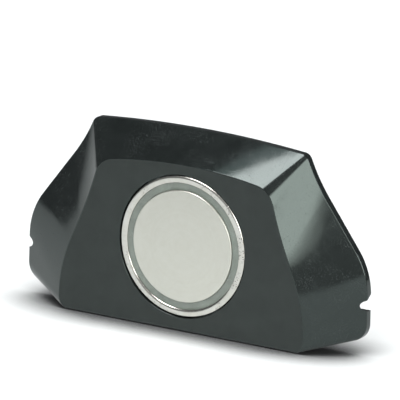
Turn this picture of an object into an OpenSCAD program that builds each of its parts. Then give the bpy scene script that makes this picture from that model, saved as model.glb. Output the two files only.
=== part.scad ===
// Panel-mounted proximity sensor: a bell-shaped shell with a round sensing
// head, which pushes onto a base plate that carries the wiring.
// The sensing axis runs along Y. The origin is where it meets the panel:
// the panel is at y = 0, the target passes in front of the shell at -Y.

/* [Shell] */
// Depth from the panel to the front face
shell_depth = 15.4; // [15:0.1:17]
// Height of the sensing axis above the bottom of the front face
axis_height = 36.5; // [36:0.1:38]
// Depth of the straight rim at the panel
rim_depth = 3.15; // [3.1:0.05:3.4]
// Thickness of the front wall
front_wall = 2.0; // [1.8:0.1:2.2]
// Inset of the cavity from the outside, measured across the shell
wall_inset = 4.2; // [4:0.1:4.4]
// Thickness of the rim wall around the base plate
rim_wall = 2.0; // [1.8:0.1:2.2]

/* [Front outline] */
// Half of the width at the bottom
front_half = 59.4; // [58:0.1:61]
// Radius of the lower corners
front_corner = 5.4; // [4:0.1:5.6]
// Height where the bulge starts
front_rise = 6; // [5.8:0.1:6.5]
// Radius of the bulge above each lower corner
front_bulge = 62.1; // [60:0.1:64]
// Angle that the bulge turns through
front_lean = 22.7; // [22:0.1:23]
// Length of the straight flank
front_flank = 11.9; // [11:0.1:13]
// Radius of the hollow shoulder
front_hollow = 172.7; // [170:0.1:176]
// Angle that the hollow shoulder turns back
front_return = 7.1; // [7:0.1:7.3]
// Radius of the upper corners
front_top_corner = 10.2; // [9:0.1:11]
// Height at the middle
front_height = 71.4; // [71:0.1:72]

/* [Rim outline] */
// Half of the width at the bottom
rim_half = 82.2; // [81:0.1:83]
// Height of the rim's bottom above the bottom of the front face
rim_lift = 6.2; // [6:0.1:6.5]
// Radius of the lower corners
rim_corner = 7.7; // [7:0.1:8.5]
// Height where the bulge starts above the rim's bottom
rim_rise = 19.5; // [19:0.1:20]
// Radius of the bulge
rim_bulge = 30.9; // [30:0.1:32]
// Angle that the bulge turns through
rim_lean = 36.9; // [36.5:0.1:37.2]
// Length of the straight flank
rim_flank = 25.1; // [24.5:0.1:26]
// Radius of the hollow shoulder
rim_hollow = 76; // [74:0.1:80]
// Angle that the hollow shoulder turns back
rim_return = 13.1; // [12.8:0.1:13.4]
// Radius of the upper corners
rim_top_corner = 4.0; // [3.5:0.1:4.5]
// Height at the middle
rim_height = 77.7; // [77:0.1:78.2]

/* [Sensing head] */
// Outer radius of the plated shield
shield_r = 30; // [29.9:0.05:30.1]
// Inner radius of the shield's front edge
shield_lip_r = 26.9; // [26.8:0.05:27]
// Radius of the sensing face
face_r = 23.85; // [23.7:0.05:23.9]
// Gap between the shield and the shell
head_gap = 0.45; // [0.4:0.05:0.5]
// Radius of the shield's body behind its flange
shield_body_r = 23.5; // [23.4:0.05:23.5]
// Depth of the isolating ring below the sensing face
ring_recess = 0.8; // [0.6:0.1:0.9]

/* [Mounting] */
// Distance between the two middle fixing holes
fixing_pitch = 124; // [122:1:126]
// Distance between the two upper fixing holes
upper_pitch = 52; // [50:1:54]
// Height of the upper fixing holes above the sensing axis
upper_height = 33; // [32:1:33]
// Radius of a fixing hole
fixing_r = 2.25; // [2:0.05:2.4]
// Width of each cable inlet along the rim
inlet_width = 7.3; // [7:0.1:8]
// Depth of each cable inlet from the panel
inlet_depth = 4.6; // [4.4:0.1:4.8]
// Height of the inlets' middle below the sensing axis
inlet_drop = 13.1; // [13:0.1:14]

/* [Hidden] */
$fn = 72;
eps = 0.01;

// Planes along the sensing axis, from the front to the panel
front_y = -shell_depth;
head_y = front_y + 0.1;
flange_back_y = head_y + 3.0;
seal_back_y = flange_back_y + 0.8;
seat_back_y = seal_back_y + 1.8;
nut_back_y = seat_back_y + 2.4;
cup_back_y = head_y + 8.4;
cup_floor = 1.5;
sheet_y = cup_back_y + 0.3;
main_board_back_y = sheet_y + 1.0;
plate_front_y = -2.4;
terminal_board_y = plate_front_y - 1.0;
terminal_front_y = terminal_board_y - 1.0;

// The head's fits
seat_r = shield_r + head_gap;
bore_r = shield_body_r + 0.2;
well_r = 33.5;
nut_r = 27.3;

// Places across the panel, as [x, z]
board_half = 62;
board_low = -25.4;
board_high = -7;
board_mid = (board_low + board_high) / 2;
board_screw_at = [[-27, -10.5], [-27, -22], [27, -10.5], [27, -22]];
terminal_x = 53.5;
terminal_width = 11;
terminal_pitch = 5;
switch_at = [-41, -20.4];
switch_step = 1.6;
trimmer_at = [-41, -11.6];
link_at = [39, -12.5];
link_pitch = 2.54;
driver_at = [38, -22.6];
capacitor_at = [-31, -16.2];
oscillator_at = [6, 6];
post_at = [[40, 22], [46, -1]];
post_r = 2.5;
post_tip_y = -9;
head_screw_ring = 17;
lead_at = 14;

// Depths and radii of small parts
clamp_y = terminal_front_y - 4.3;
face_depth = 1.4;
core_y = head_y + face_depth + 0.1;
channel_r = [9.5, 17.5];
trimmer_r = 2.2;
link_socket_y = sheet_y - 4.8;

// Small screws and running fits
screw_r = 0.88;
screw_hole_r = 0.9;
screw_head_r = 1.8;
screw_head = 0.8;
play = 0.05;

// An arc about c from angle a to angle b, in n steps. One that goes on from
// the arc before it starts at step 1, so that no point comes twice.
function arc(c, r, a, b, n, first = 0) =
    [for (i = [first:n]) c + r * [cos(a + (b - a) * i / n), sin(a + (b - a) * i / n)]];

// Half of a bell outline, from its lower corner to its top middle. Every
// arc is tangent to the next. inset moves the whole outline inwards.
function half_bell(half, corner, rise, bulge, lean, flank, hollow, back, top_corner, height,
        lift, inset) =
    let (
        w = half - inset,
        r = max(0.6, corner - inset),
        z0 = lift + inset,
        top = lift + height - inset,
        rb = bulge - inset,
        rh = hollow + inset,
        rt = max(0.6, top_corner - inset),
        bulge_c = [w - rb, lift + rise],
        p1 = bulge_c + rb * [cos(lean), sin(lean)],
        p2 = p1 + flank * [-sin(lean), cos(lean)],
        hollow_c = p2 + rh * [cos(lean), sin(lean)],
        turn = lean - back,
        p3 = hollow_c - rh * [cos(turn), sin(turn)],
        corner_c = p3 - rt * [cos(turn), sin(turn)],
        drop = corner_c[1] - top,
        crown_r = (rt * rt - corner_c[0] * corner_c[0] - drop * drop) / (2 * (drop + rt)),
        crown_c = [0, top - crown_r],
        crown_a = atan2(corner_c[1] - crown_c[1], corner_c[0])
    )
    concat(
        arc([w - r, z0 + r], r, -90, 0, 5),
        arc(bulge_c, rb, 0, lean, 8),
        arc(hollow_c, rh, 180 + lean, 180 + turn, 6),
        arc(corner_c, rt, turn, crown_a, 5, 1),
        arc(crown_c, crown_r, crown_a, 90, 8, 1));

// The whole outline, anticlockwise seen from the front, about the sensing axis
function bell(right) =
    [for (p = concat(right, [for (i = [len(right) - 2:-1:0]) [-right[i][0], right[i][1]]]))
        [p[0], p[1] - axis_height]];

function front_outline(inset = 0) = bell(half_bell(front_half, front_corner, front_rise,
    front_bulge, front_lean, front_flank, front_hollow, front_return, front_top_corner,
    front_height, 0, inset));

function rim_outline(inset = 0) = bell(half_bell(rim_half, rim_corner, rim_rise,
    rim_bulge, rim_lean, rim_flank, rim_hollow, rim_return, rim_top_corner,
    rim_height, rim_lift, inset));

// The outline part of the way from the front face to the rim
function between(inset, y) =
    let (
        a = front_outline(inset),
        b = rim_outline(inset),
        s = (y - front_y) / (shell_depth - rim_depth)
    )
    [for (i = [0:len(a) - 1]) a[i] + (b[i] - a[i]) * s];

// A solid through a row of outlines of equally many points, each [outline, y].
// Each end is closed by strips that run from one side to the other.
module loft(sections) {
    n = len(sections[0][0]);
    top = (n - 1) / 2;
    last = (len(sections) - 1) * n;
    points = [for (s = sections, p = s[0]) [p[0], s[1], p[1]]];
    strips = concat([for (i = [0:top - 2]) [i, i + 1, n - 2 - i, n - 1 - i]],
        [[top - 1, top, top + 1]]);
    front_cap = [for (f = strips) [for (i = [len(f) - 1:-1:0]) f[i]]];
    back_cap = [for (f = strips) [for (i = f) last + i]];
    sides = [for (k = [0:n:last - n], i = [0:n - 1]) let (j = (i + 1) % n)
        each [[k + i, k + j, k + n + j], [k + i, k + n + j, k + n + i]]];
    polyhedron(points, concat(front_cap, back_cap, sides));
}

// A plate with a flat outline, between two planes across the sensing axis
module slab(y_a, y_b) {
    translate([0, y_b, 0]) rotate([90, 0, 0]) linear_extrude(y_b - y_a) children();
}

// A round bar along the sensing axis at a place [x, z]
module bar(y_a, y_b, r, at = [0, 0]) {
    translate([at[0], y_b, at[1]]) rotate([90, 0, 0]) cylinder(h = y_b - y_a, r = r);
}

// A block centred on a place [x, z], between two planes
module block(y_a, y_b, width, height, at = [0, 0]) {
    translate([at[0] - width / 2, y_a, at[1] - height / 2]) cube([width, y_b - y_a, height]);
}

// A flat ring along the sensing axis
module ring(y_a, y_b, r_out, r_in, at = [0, 0]) {
    difference() {
        bar(y_a, y_b, r_out, at);
        bar(y_a - 1, y_b + 1, r_in, at);
    }
}

// A shape and its mirror image on the other side
module both_sides() {
    for (side = [0, 1]) mirror([side, 0, 0]) children();
}

// A body turned about the sensing axis, from a profile of [radius, y]
module turned(profile) {
    rotate([90, 0, 0]) rotate_extrude() polygon([for (p = profile) [p[0], -p[1]]]);
}

// The screws of one size: a low round head and a plain shank
module screw(head_y_a, shank_y_b, at) {
    bar(head_y_a, head_y_a + screw_head, screw_head_r, at);
    bar(head_y_a + screw_head - eps, shank_y_b, screw_r, at);
}

// The cable inlet's cut: a notch with rounded corners, open to the panel
module inlet_cut(x_a, x_b, depth) {
    r = 1.6;
    flat = inlet_width - 2 * r;
    translate([x_a, -depth + r, -inlet_drop - inlet_width / 2])
        cube([x_b - x_a, depth - r + 1, inlet_width]);
    translate([x_a, -depth, -inlet_drop - flat / 2]) cube([x_b - x_a, depth, flat]);
    for (side = [-1, 1]) {
        translate([x_a, -depth + r, -inlet_drop + side * flat / 2])
            rotate([0, 90, 0]) cylinder(h = x_b - x_a, r = r);
    }
}

module front_housing() {
    cavity_y = front_y + front_wall;
    color([0.25, 0.27, 0.26]) difference() {
        union() {
            difference() {
                loft([[front_outline(), front_y], [rim_outline(), -rim_depth],
                    [rim_outline(), 0]]);
                loft([[between(wall_inset, cavity_y), cavity_y],
                    [rim_outline(wall_inset), -rim_depth], [rim_outline(rim_wall), -rim_depth],
                    [rim_outline(rim_wall), 1]]);
            }
            bar(front_y + 1, seat_back_y, well_r);
            both_sides() for (p = post_at) bar(front_y + 1, terminal_board_y - 0.8, 4.2, p);
        }
        bar(front_y - 1, seal_back_y, seat_r);
        bar(front_y, seat_back_y + 1, bore_r);
        both_sides() for (p = post_at) {
            bar(post_tip_y - 0.6, terminal_board_y, post_r + 0.05, p);
        }
        both_sides() inlet_cut(rim_half - 12, rim_half + 1, inlet_depth);
    }
}

module base_plate() {
    color([0.2, 0.21, 0.21]) difference() {
        union() {
            slab(plate_front_y, 0) polygon(rim_outline(rim_wall + 0.2));
            both_sides() for (p = post_at) bar(post_tip_y, plate_front_y + eps, post_r, p);
            for (p = board_screw_at) bar(terminal_board_y, plate_front_y + eps, 2.6, p);
        }
        for (p = board_screw_at) bar(terminal_board_y - 1, -0.8, screw_hole_r, p);
        both_sides() bar(plate_front_y - 1, 1, fixing_r, [fixing_pitch / 2, 0]);
        both_sides() bar(plate_front_y - 1, 1, fixing_r, [upper_pitch / 2, upper_height]);
        both_sides() inlet_cut(rim_half - 9, rim_half, inlet_depth);
    }
}

module base_gasket() {
    color([0.12, 0.12, 0.12]) difference() {
        slab(-rim_depth, plate_front_y) polygon(rim_outline(rim_wall + 0.2));
        slab(-rim_depth - 1, 0) polygon(rim_outline(wall_inset));
        both_sides() inlet_cut(rim_half - 12, rim_half, inlet_depth);
    }
}

module terminal_board() {
    color([0.1, 0.35, 0.2]) difference() {
        block(terminal_front_y, terminal_board_y, 2 * board_half, board_high - board_low,
            [0, board_mid]);
        for (p = board_screw_at) bar(terminal_front_y - 1, 0, 1, p);
        for (i = [-1.5:1.5]) bar(terminal_front_y - 1, 0, 0.5, link_at + [0, i * link_pitch]);
    }
}

module terminal_board_screws() {
    color([0.75, 0.75, 0.73])
        for (p = board_screw_at) screw(terminal_front_y - screw_head, -1, p);
}

// A three-way block with its wire entries facing the cable inlet
module terminal_block() {
    front = terminal_front_y - 6;
    outer = terminal_x + terminal_width / 2;
    difference() {
        block(front, terminal_front_y, terminal_width, 3 * terminal_pitch + 1,
            [terminal_x, board_mid]);
        for (i = [-1:1]) {
            z = board_mid + i * terminal_pitch;
            block(clamp_y, clamp_y + 3.6, 9, 3.6, [outer - 3.5, z]);
            bar(front - 1, front + 1.4, 1.9, [terminal_x, z]);
            bar(front, clamp_y + 1, 1.3, [terminal_x, z]);
        }
    }
}

module terminal_block_left() {
    color([0.2, 0.45, 0.35]) mirror([1, 0, 0]) terminal_block();
}

module terminal_block_right() {
    color([0.2, 0.45, 0.35]) terminal_block();
}

module wire_clamps() {
    color([0.8, 0.7, 0.4]) both_sides() for (i = [-1:1]) {
        at = [terminal_x, board_mid + i * terminal_pitch];
        difference() {
            block(clamp_y + play, clamp_y + 3.55, 5, 3.5, at);
            block(clamp_y + 0.8, clamp_y + 2.9, 6, 2.5, at);
            bar(clamp_y - 1, clamp_y + 1, screw_hole_r, at);
        }
    }
}

module terminal_screws() {
    color([0.75, 0.75, 0.73]) both_sides() for (i = [-1:1]) {
        at = [terminal_x, board_mid + i * terminal_pitch];
        difference() {
            screw(terminal_front_y - 5.7, clamp_y + 1.4, at);
            block(terminal_front_y - 6, terminal_front_y - 5.3, 4, 0.6, at);
        }
    }
}

module switch_body() {
    color([0.6, 0.15, 0.12]) difference() {
        block(terminal_front_y - 3.2, terminal_front_y, 8, 6.5, switch_at);
        for (side = [-1, 1]) {
            block(terminal_front_y - 4, terminal_front_y - 1.4, 4.4, 1.5,
                switch_at + [0, side * switch_step]);
        }
    }
}

// A slider at the left end of its slot
module switch_slider(side) {
    color([0.9, 0.9, 0.86])
        block(terminal_front_y - 3.8, terminal_front_y - 1.5, 1.8, 1.3,
            switch_at + [-1.2, side * switch_step]);
}

module switch_slider_upper() {
    switch_slider(1);
}

module switch_slider_lower() {
    switch_slider(-1);
}

module trimmer_body() {
    color([0.15, 0.3, 0.6]) difference() {
        block(terminal_front_y - 2.8, terminal_front_y, 6.6, 6.6, trimmer_at);
        bar(terminal_front_y - 4, terminal_front_y - 1, trimmer_r + play, trimmer_at);
    }
}

module trimmer_rotor() {
    color([0.85, 0.8, 0.6]) difference() {
        bar(terminal_front_y - 3, terminal_front_y - 1 - play, trimmer_r, trimmer_at);
        block(terminal_front_y - 4, terminal_front_y - 2.3, 0.6, 3.4, trimmer_at);
    }
}

module link_header() {
    color([0.1, 0.1, 0.1]) difference() {
        block(terminal_front_y - 1, terminal_front_y, 2.6, 4 * link_pitch + 0.4, link_at);
        for (i = [-1.5:1.5]) {
            block(terminal_front_y - 2, 0, 0.7, 0.7, link_at + [0, i * link_pitch]);
        }
    }
}

module link_pins() {
    color([0.85, 0.75, 0.4]) for (i = [-1.5:1.5]) {
        block(link_socket_y + 0.8, terminal_board_y + 0.2, 0.64, 0.64,
            link_at + [0, i * link_pitch]);
    }
}

module output_driver() {
    color([0.08, 0.08, 0.08]) block(terminal_front_y - 1.2, terminal_front_y, 5, 4, driver_at);
}

module filter_capacitor() {
    color([0.7, 0.55, 0.3])
        block(terminal_front_y - 2.4, terminal_front_y, 5, 3.6, capacitor_at);
}

module front_housing() {
    cavity_y = front_y + front_wall;
    color([0.25, 0.27, 0.26]) difference() {
        union() {
            difference() {
                loft([[front_outline(), front_y], [rim_outline(), -rim_depth],
                    [rim_outline(), 0]]);
                loft([[between(wall_inset, cavity_y), cavity_y],
                    [rim_outline(wall_inset), -rim_depth], [rim_outline(rim_wall), -rim_depth],
                    [rim_outline(rim_wall), 1]]);
            }
            bar(front_y + 1, seat_back_y, well_r);
            both_sides() for (p = post_at) bar(front_y + 1, terminal_board_y - 0.8, 4.2, p);
        }
        bar(front_y - 1, seal_back_y, seat_r);
        bar(front_y, seat_back_y + 1, bore_r);
        both_sides() for (p = post_at) {
            bar(post_tip_y - 0.6, terminal_board_y, post_r + play, p);
        }
        both_sides() inlet_cut(rim_half - 12, rim_half + 1, inlet_depth);
    }
}

// The shield: a thick front flange, a web, a thinner body and its floor
module shield_cup() {
    edge = 0.5;
    web_y = flange_back_y - 1;
    inner_r = shield_body_r - 1.5;
    color([0.82, 0.8, 0.76]) difference() {
        turned([[0, cup_back_y], [0, cup_back_y - cup_floor], [inner_r, cup_back_y - cup_floor],
            [inner_r, web_y], [shield_lip_r, web_y], [shield_lip_r, head_y + edge],
            [shield_lip_r + edge, head_y], [shield_r - edge, head_y],
            [shield_r, head_y + edge], [shield_r, flange_back_y],
            [shield_body_r, flange_back_y], [shield_body_r, cup_back_y]]);
        head_holes(cup_back_y - 3, cup_back_y + 1, screw_hole_r);
    }
}

// The holes behind the head for its three screws and the two coil leads
module head_holes(y_a, y_b, r) {
    for (a = [90:120:330]) bar(y_a, y_b, r, head_screw_ring * [cos(a), sin(a)]);
    both_sides() bar(y_a, y_b, 0.8, [lead_at, 0]);
}

module head_seal() {
    color([0.12, 0.12, 0.12]) ring(flange_back_y, seal_back_y, shield_r - 0.2, bore_r + 0.3);
}

module clamp_nut() {
    color([0.7, 0.7, 0.68]) difference() {
        ring(seat_back_y, nut_back_y, nut_r, shield_body_r + play);
        for (a = [0:60:300]) rotate([0, a, 0]) block(seat_back_y - 1, 0, 3, 4, [0, nut_r]);
    }
}

module sensing_face() {
    edge = 0.4;
    color([0.8, 0.8, 0.77]) turned([[0, head_y + face_depth], [0, head_y],
        [face_r - edge, head_y], [face_r, head_y + edge], [face_r, head_y + face_depth]]);
}

// The ring that holds the face in the shield, with a ledge behind the face
module isolating_ring() {
    web_y = flange_back_y - 1;
    inner_r = shield_body_r - 1.4;
    color([0.5, 0.55, 0.53]) turned([[inner_r, web_y], [inner_r, head_y + face_depth],
        [face_r + play, head_y + face_depth], [face_r + play, head_y + ring_recess],
        [shield_lip_r - play, head_y + ring_recess], [shield_lip_r - play, web_y]]);
}

module ferrite_core() {
    color([0.25, 0.25, 0.26]) difference() {
        bar(core_y, cup_back_y - cup_floor, shield_body_r - 1.6);
        ring(core_y - 1, core_y + 3.2, channel_r[1], channel_r[0]);
        both_sides() bar(core_y, 0, 0.8, [lead_at, 0]);
    }
}

module coil_bobbin() {
    y_b = core_y + 3.1;
    r_a = channel_r[0] + 0.1;
    r_b = channel_r[1] - 0.1;
    color([0.85, 0.84, 0.78]) difference() {
        ring(core_y + 0.1, y_b, r_b, r_a);
        ring(core_y + 0.7, y_b - 0.6, r_b + 1, r_a + 0.8);
        both_sides() bar(core_y + 1, 0, 0.6, [lead_at, 0]);
    }
}

module coil_winding() {
    color([0.72, 0.42, 0.2]) ring(core_y + 0.75, core_y + 2.45, channel_r[1] - 0.3,
        channel_r[0] + 1);
}

module coil_leads() {
    color([0.72, 0.42, 0.2]) both_sides()
        bar(core_y + 2.45, main_board_back_y + 0.4, 0.45, [lead_at, 0]);
}

module insulator_disc() {
    color([0.85, 0.6, 0.2]) difference() {
        bar(cup_back_y, sheet_y, shield_body_r - 1);
        head_holes(cup_back_y - 1, sheet_y + 1, 1);
    }
}

// A round board behind the head, with a wing that reaches the link
module main_board() {
    wing_x = 44;
    color([0.1, 0.35, 0.2]) difference() {
        union() {
            bar(sheet_y, main_board_back_y, 23.4);
            block(sheet_y, main_board_back_y, wing_x - 10, 13, [(wing_x + 10) / 2, link_at[1]]);
        }
        head_holes(sheet_y - 1, 0, 1);
        block(sheet_y - 1, 0, 1.6, 4 * link_pitch, link_at);
    }
}

module main_board_screws() {
    color([0.75, 0.75, 0.73]) for (a = [90:120:330]) {
        at = head_screw_ring * [cos(a), sin(a)];
        bar(main_board_back_y, main_board_back_y + screw_head, screw_head_r, at);
        bar(cup_back_y - 1.3, main_board_back_y + eps, screw_r, at);
    }
}

module oscillator_chip() {
    color([0.08, 0.08, 0.08])
        block(main_board_back_y, main_board_back_y + 0.9, 5, 5, oscillator_at);
}

module link_socket() {
    color([0.1, 0.1, 0.1]) difference() {
        block(link_socket_y, sheet_y, 4.4, 4 * link_pitch + 1, link_at);
        for (i = [-1.5:1.5]) {
            block(link_socket_y - 1, 0, 1.2, 1.2, link_at + [0, i * link_pitch]);
        }
    }
}

base_plate();
base_gasket();
terminal_board();
terminal_board_screws();
terminal_block_left();
terminal_block_right();
wire_clamps();
terminal_screws();
switch_body();
switch_slider_upper();
switch_slider_lower();
trimmer_body();
trimmer_rotor();
link_header();
link_pins();
output_driver();
filter_capacitor();
front_housing();
shield_cup();
head_seal();
clamp_nut();
sensing_face();
isolating_ring();
ferrite_core();
coil_bobbin();
coil_winding();
coil_leads();
insulator_disc();
main_board();
main_board_screws();
oscillator_chip();
link_socket();
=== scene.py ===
import math

import bmesh
import bpy
from mathutils import Matrix, Vector


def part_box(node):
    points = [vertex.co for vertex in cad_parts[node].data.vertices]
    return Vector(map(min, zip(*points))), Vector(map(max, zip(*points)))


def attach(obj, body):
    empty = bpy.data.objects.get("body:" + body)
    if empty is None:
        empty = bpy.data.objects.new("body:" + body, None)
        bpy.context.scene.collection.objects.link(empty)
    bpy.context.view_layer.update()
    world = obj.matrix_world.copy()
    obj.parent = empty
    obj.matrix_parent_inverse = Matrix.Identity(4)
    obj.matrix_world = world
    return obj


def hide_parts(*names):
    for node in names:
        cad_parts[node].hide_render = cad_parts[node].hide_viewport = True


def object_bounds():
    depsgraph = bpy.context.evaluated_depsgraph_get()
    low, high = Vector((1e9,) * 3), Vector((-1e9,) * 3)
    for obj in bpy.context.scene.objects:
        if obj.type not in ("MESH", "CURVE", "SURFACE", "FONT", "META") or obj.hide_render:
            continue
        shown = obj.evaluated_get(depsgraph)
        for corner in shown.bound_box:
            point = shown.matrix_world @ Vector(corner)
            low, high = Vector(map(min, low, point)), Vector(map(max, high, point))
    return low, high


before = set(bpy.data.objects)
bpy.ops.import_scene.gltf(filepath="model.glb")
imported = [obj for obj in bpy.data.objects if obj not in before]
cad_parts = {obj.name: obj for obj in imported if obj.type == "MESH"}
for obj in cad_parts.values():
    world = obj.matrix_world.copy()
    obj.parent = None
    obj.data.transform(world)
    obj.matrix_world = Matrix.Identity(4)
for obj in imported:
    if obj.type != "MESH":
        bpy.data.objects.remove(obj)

cad_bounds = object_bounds()
MM = 0.001

# ---------------------------------------------------------------- outlines
# Steps along the lower edge, lower corner, side, bulge, flank, hollow, upper
# corner and crown of half an outline
STEPS = (26, 12, 6, 24, 6, 18, 14, 28)
AXIS_HEIGHT = 36.5
LEAST_CORNER = 0.6
FRONT_Y = -15.4
RIM_Y = -3.15
FRONT = dict(half=59.4, corner=5.4, rise=6.0, bulge=62.1, lean=22.7, flank=11.9,
             hollow=172.7, back=7.1, top_corner=10.2, height=71.4, lift=0.0)
RIM = dict(half=82.2, corner=7.7, rise=19.5, bulge=30.9, lean=36.9, flank=25.1,
           hollow=76.0, back=13.1, top_corner=4.0, height=77.7, lift=6.2)

# Planes, wall insets and radii, as in the frame
FRONT_WALL = 2.0
RIM_WALL = 2.0
WALL_INSET = 4.2
PLATE_INSET = 2.2
HEAD_Y = FRONT_Y + 0.1
SEAL_BACK_Y = -11.5
SEAT_BACK_Y = -9.7
PLATE_FRONT_Y = -2.4
BACK_BOARD_Y = -3.4
POST_R = 2.5
POST_TIP_Y = -9.0
BOSS_R = 4.2
BOSS_Y = -4.2
FIXING_R = 2.25
PILOT_R = 0.9
SEAT_R = 30.45
BORE_R = 23.7
WELL_R = 33.5
SHIELD_R = 30.0
LIP_R = 26.9
FACE_R = 23.85
POSTS = ((40, 22), (46, -1), (-40, 22), (-46, -1))
FIXINGS = ((62, 0), (-62, 0), (26, 33), (-26, 33))
BOARD_SCREWS = ((-27, -10.5), (-27, -22), (27, -10.5), (27, -22))
TERMINAL_X = 56.5
TERMINAL_HEIGHTS = (-21.2, -16.2, -11.2)
EJECTOR_MARKS = ((0, 16), (-44, 10), (44, 10), (0, -18))


def arc(centre, radius, start, end, steps, first=0):
    """Points on an arc; one that goes on from the arc before starts at step 1."""
    out = []
    for i in range(first, steps + 1):
        a = start + (end - start) * i / steps
        out.append((centre[0] + radius * math.cos(a), centre[1] + radius * math.sin(a)))
    return out


def bell(shape, inset=0.0):
    """The closed bell outline as [x, z], moved inwards by the inset. It works for
    insets up to about 7 mm."""
    lean = math.radians(shape["lean"])
    turn = lean - math.radians(shape["back"])
    width = shape["half"] - inset
    corner = max(LEAST_CORNER, shape["corner"] - inset)
    low = shape["lift"] + inset
    top = shape["lift"] + shape["height"] - inset
    bulge = shape["bulge"] - inset
    hollow = shape["hollow"] + inset
    upper = max(LEAST_CORNER, shape["top_corner"] - inset)
    bulge_c = (width - bulge, shape["lift"] + shape["rise"])
    p1 = (bulge_c[0] + bulge * math.cos(lean), bulge_c[1] + bulge * math.sin(lean))
    p2 = (p1[0] - shape["flank"] * math.sin(lean), p1[1] + shape["flank"] * math.cos(lean))
    hollow_c = (p2[0] + hollow * math.cos(lean), p2[1] + hollow * math.sin(lean))
    p3 = (hollow_c[0] - hollow * math.cos(turn), hollow_c[1] - hollow * math.sin(turn))
    upper_c = (p3[0] - upper * math.cos(turn), p3[1] - upper * math.sin(turn))
    drop = upper_c[1] - top
    crown = (upper ** 2 - upper_c[0] ** 2 - drop ** 2) / (2 * (drop + upper))
    crown_a = math.atan2(upper_c[1] - top + crown, upper_c[0])
    low_n, corner_n, side_n, bulge_n, flank_n, hollow_n, upper_n, crown_n = STEPS
    right = [((width - corner) * i / low_n, low) for i in range(low_n)]
    right += arc((width - corner, low + corner), corner, -math.pi / 2, 0, corner_n)
    side_x, side_z = right[-1]
    right += [(side_x, side_z + (bulge_c[1] - side_z) * i / side_n)
              for i in range(1, side_n)]
    right += arc(bulge_c, bulge, 0, lean, bulge_n)
    right += [(p1[0] + (p2[0] - p1[0]) * i / flank_n, p1[1] + (p2[1] - p1[1]) * i / flank_n)
              for i in range(1, flank_n)]
    right += arc(hollow_c, hollow, math.pi + lean, math.pi + turn, hollow_n)
    right += arc(upper_c, upper, turn, crown_a, upper_n, 1)
    right += arc((0, top - crown), crown, crown_a, math.pi / 2, crown_n, 1)
    left = [(-x, z) for x, z in right[-2:0:-1]]
    return [Vector((x, z - AXIS_HEIGHT)) for x, z in right + left]


def lay(outline, y):
    return [Vector((p[0], y, p[1])) for p in outline]


def between(inset, y):
    """The outline part of the way from the front face to the rim."""
    s = (y - FRONT_Y) / (RIM_Y - FRONT_Y)
    return [a.lerp(b, s) for a, b in zip(bell(FRONT, inset), bell(RIM, inset))]


def outward(outline):
    """The outward normal at each point of an outline."""
    n = len(outline)
    out = []
    for i in range(n):
        t = outline[(i + 1) % n] - outline[i - 1]
        out.append(Vector((t[1], -t[0])).normalized())
    return out


def circle(angles, radius, y):
    return [Vector((radius * math.cos(a), y, radius * math.sin(a))) for a in angles]


# ------------------------------------------------------------- mesh helpers
def add_mesh(name, verts, faces, sharp=35):
    """A mesh object from points in millimetres."""
    mesh = bpy.data.meshes.new(name)
    mesh.from_pydata([Vector(v) * MM for v in verts], [], faces)
    mesh.validate()
    tidy(mesh, sharp)
    piece = bpy.data.objects.new(name, mesh)
    bpy.context.scene.collection.objects.link(piece)
    return piece


def tidy(mesh, sharp):
    """Outward normals, and smooth shading up to the given edge angle."""
    bm = bmesh.new()
    bm.from_mesh(mesh)
    bmesh.ops.remove_doubles(bm, verts=bm.verts, dist=2e-7)
    bmesh.ops.recalc_face_normals(bm, faces=bm.faces)
    bm.to_mesh(mesh)
    bm.free()
    for p in mesh.polygons:
        p.use_smooth = True
    mesh.set_sharp_from_angle(angle=math.radians(sharp))


def skin(rings, closed=False, caps=False):
    """Points and faces of a grid through rings of equally many points."""
    n = len(rings[0])
    verts = [p for r in rings for p in r]
    faces = []
    count = len(rings) if closed else len(rings) - 1
    for k in range(count):
        a, b = k * n, ((k + 1) % len(rings)) * n
        for i in range(n):
            j = (i + 1) % n
            faces.append((a + i, a + j, b + j, b + i))
    if caps:
        faces.append(tuple(range(n))[::-1])
        faces.append(tuple((len(rings) - 1) * n + i for i in range(n)))
    return verts, faces


def turned(name, profile, at=(0, 0), segments=192, sharp=35):
    """A body turned about an axis along Y, from a closed profile of (radius, y)."""
    angles = [2 * math.pi * i / segments for i in range(segments)]
    bm = bmesh.new()
    rows = []
    for r, y in profile:
        if r < 1e-6:
            v = bm.verts.new(Vector((at[0], y, at[1])) * MM)
            rows.append([v] * segments)
        else:
            rows.append([bm.verts.new(Vector((at[0] + r * math.cos(a), y,
                         at[1] + r * math.sin(a))) * MM) for a in angles])
    for k in range(len(rows)):
        a, b = rows[k], rows[(k + 1) % len(rows)]
        for i in range(segments):
            j = (i + 1) % segments
            corner = []
            for v in (a[i], a[j], b[j], b[i]):
                if v not in corner:
                    corner.append(v)
            if len(corner) > 2:
                bm.faces.new(corner)
    mesh = bpy.data.meshes.new(name)
    bm.to_mesh(mesh)
    bm.free()
    tidy(mesh, sharp)
    piece = bpy.data.objects.new(name, mesh)
    bpy.context.scene.collection.objects.link(piece)
    return piece


def rounded(points, radii, steps=5):
    """A profile whose corners are rounded, each with its own radius."""
    out = []
    n = len(points)
    for i in range(n):
        p = Vector(points[i])
        r = radii[i]
        if r <= 0:
            out.append(tuple(p))
            continue
        a = (Vector(points[i - 1]) - p).normalized()
        b = (Vector(points[(i + 1) % n]) - p).normalized()
        half = a.angle(b) / 2
        cut = r / math.tan(half)
        out += conic(p + a * cut, p, p + b * cut, math.sin(half), steps)
    return [tuple(p) for p in out]


def conic(start, corner, end, weight, steps):
    """A circular blend from start to end about the corner point."""
    out = []
    for k in range(steps + 1):
        t = k / steps
        a, b, c = (1 - t) ** 2, 2 * t * (1 - t) * weight, t ** 2
        out.append((start * a + corner * b + end * c) / (a + b + c))
    return out


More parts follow.
